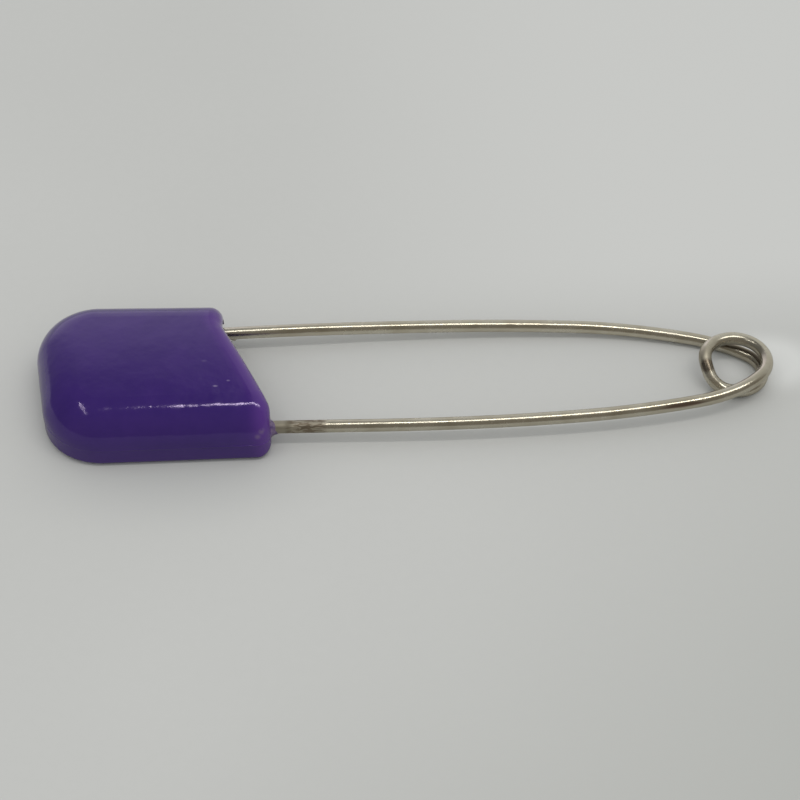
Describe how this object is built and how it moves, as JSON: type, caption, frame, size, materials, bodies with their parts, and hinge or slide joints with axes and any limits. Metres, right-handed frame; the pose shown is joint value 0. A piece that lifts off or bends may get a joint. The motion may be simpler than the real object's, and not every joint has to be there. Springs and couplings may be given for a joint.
{
  "type": "safety pin",
  "caption": "Closed nappy safety pin: a bent spring wire with a coil, its ground point swinging in and out of a domed, slant-mouthed plastic head.",
  "frame": {"origin": "under the middle of the part, on the plane of the head's flat back and the coil's lowest turn", "axes": "+X from the head's closed end to the coil, +Y towards the pin arm, +Z out of the head's domed front"},
  "size_m": [0.0548, 0.0136, 0.0047],
  "materials": {
    "purple_plastic": "glossy moulded plastic, a little wavy, worn at the mouth",
    "nickel_wire": "warm nickel-plated spring wire with drawing and tool marks"
  },
  "bodies": {
    "frame": {"head": "purple_plastic", "fixed_arm": "nickel_wire", "spring_coil": "nickel_wire"},
    "pin": {"pin_arm": "nickel_wire"}
  },
  "joints": [
    {"name": "pin_swing", "type": "hinge", "parent": "frame", "child": "pin", "pos_m": [0.02476, 0.00004, 0.00047], "axis": [0, 0, -1], "range_deg": [-5, 38], "deforming": ["spring_coil"]}
  ]
}
